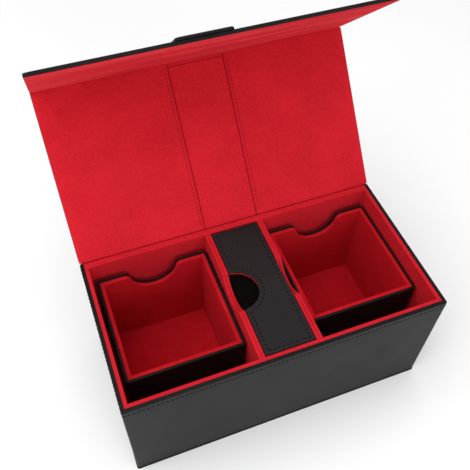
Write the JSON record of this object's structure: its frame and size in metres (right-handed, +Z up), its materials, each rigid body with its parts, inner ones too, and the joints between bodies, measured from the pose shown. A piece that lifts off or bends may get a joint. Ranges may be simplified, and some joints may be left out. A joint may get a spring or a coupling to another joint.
{
  "type": "card box with drawer",
  "caption": "Leather-wrapped card box with a hinged lid and fold-down flap, two lift-out deck boxes with thumb notches, and a lift-out centre sleeve holding a drawer tray.",
  "frame": {"origin": "centre of the case's base on the surface it stands on", "axes": "+X to the right seen from the front, -Y out of the front, +Z up"},
  "size_m": [0.251, 0.2154, 0.2817],
  "materials": {
    "leather": "fine-grained matte synthetic leather",
    "suede": "short-napped microsuede",
    "board": "dense grey paper board",
    "magnet": "nickel-plated disc"
  },
  "bodies": {
    "case": {"base_sheet": "leather", "floor_board": "board", "front_board": "board", "back_board": "board", "left_side_board": "board", "right_side_board": "board", "case_cover": "leather", "wall_lining": "suede", "floor_lining": "suede", "left_divider_board": "board", "right_divider_board": "board", "left_divider_lining": "suede", "right_divider_lining": "suede", "front_magnets": "magnet"},
    "lid": {"lid_board": "board", "lid_cover": "leather", "lid_lining_left": "suede", "lid_lining_centre": "suede", "lid_lining_right": "suede", "lid_hinge_leather": "leather", "lid_hinge_suede": "suede"},
    "flap": {"flap_board": "board", "flap_cover": "leather", "flap_lining": "suede", "flap_tab": "leather", "flap_magnets": "magnet", "flap_fold_leather": "leather"},
    "left_deck": {"left_deck_floor_board": "board", "left_deck_back_board": "board", "left_deck_front_board": "board", "left_deck_right_board": "board", "left_deck_left_board": "board", "left_deck_cover": "leather", "left_deck_lining": "suede"},
    "right_deck": {"right_deck_floor_board": "board", "right_deck_back_board": "board", "right_deck_front_board": "board", "right_deck_right_board": "board", "right_deck_left_board": "board", "right_deck_cover": "leather", "right_deck_lining": "suede"},
    "sleeve": {"sleeve_closed_side_board": "board", "sleeve_top_board": "board", "sleeve_bottom_board": "board", "sleeve_front_board": "board", "sleeve_back_board": "board", "sleeve_cover": "leather", "sleeve_lining": "suede"},
    "drawer": {"drawer_base_board": "board", "drawer_top_board": "board", "drawer_bottom_board": "board", "drawer_front_board": "board", "drawer_back_board": "board", "drawer_cover": "leather", "drawer_lining": "suede"}
  },
  "joints": [
    {"name": "lid_hinge", "type": "hinge", "parent": "case", "child": "lid", "pos_m": [0, 0.0634, 0.1115], "axis": [-1, 0, 0], "range_deg": [-130, 50], "deforming": ["lid_hinge_leather", "lid_hinge_suede"]},
    {"name": "flap_fold", "type": "hinge", "parent": "lid", "child": "flap", "pos_m": [0, 0.14793, 0.21224], "axis": [-1, 0, 0], "range_deg": [-5, 87], "deforming": ["flap_fold_leather"]},
    {"name": "left_deck_lift", "type": "slide", "parent": "case", "child": "left_deck", "axis": [0, 0, 1], "range_m": [0, 0.11]},
    {"name": "right_deck_lift", "type": "slide", "parent": "case", "child": "right_deck", "axis": [0, 0, 1], "range_m": [0, 0.11]},
    {"name": "sleeve_lift", "type": "slide", "parent": "case", "child": "sleeve", "axis": [0, 0, 1], "range_m": [0, 0.11]},
    {"name": "drawer_slide", "type": "slide", "parent": "sleeve", "child": "drawer", "axis": [-1, 0, 0], "range_m": [0, 0.001]}
  ]
}
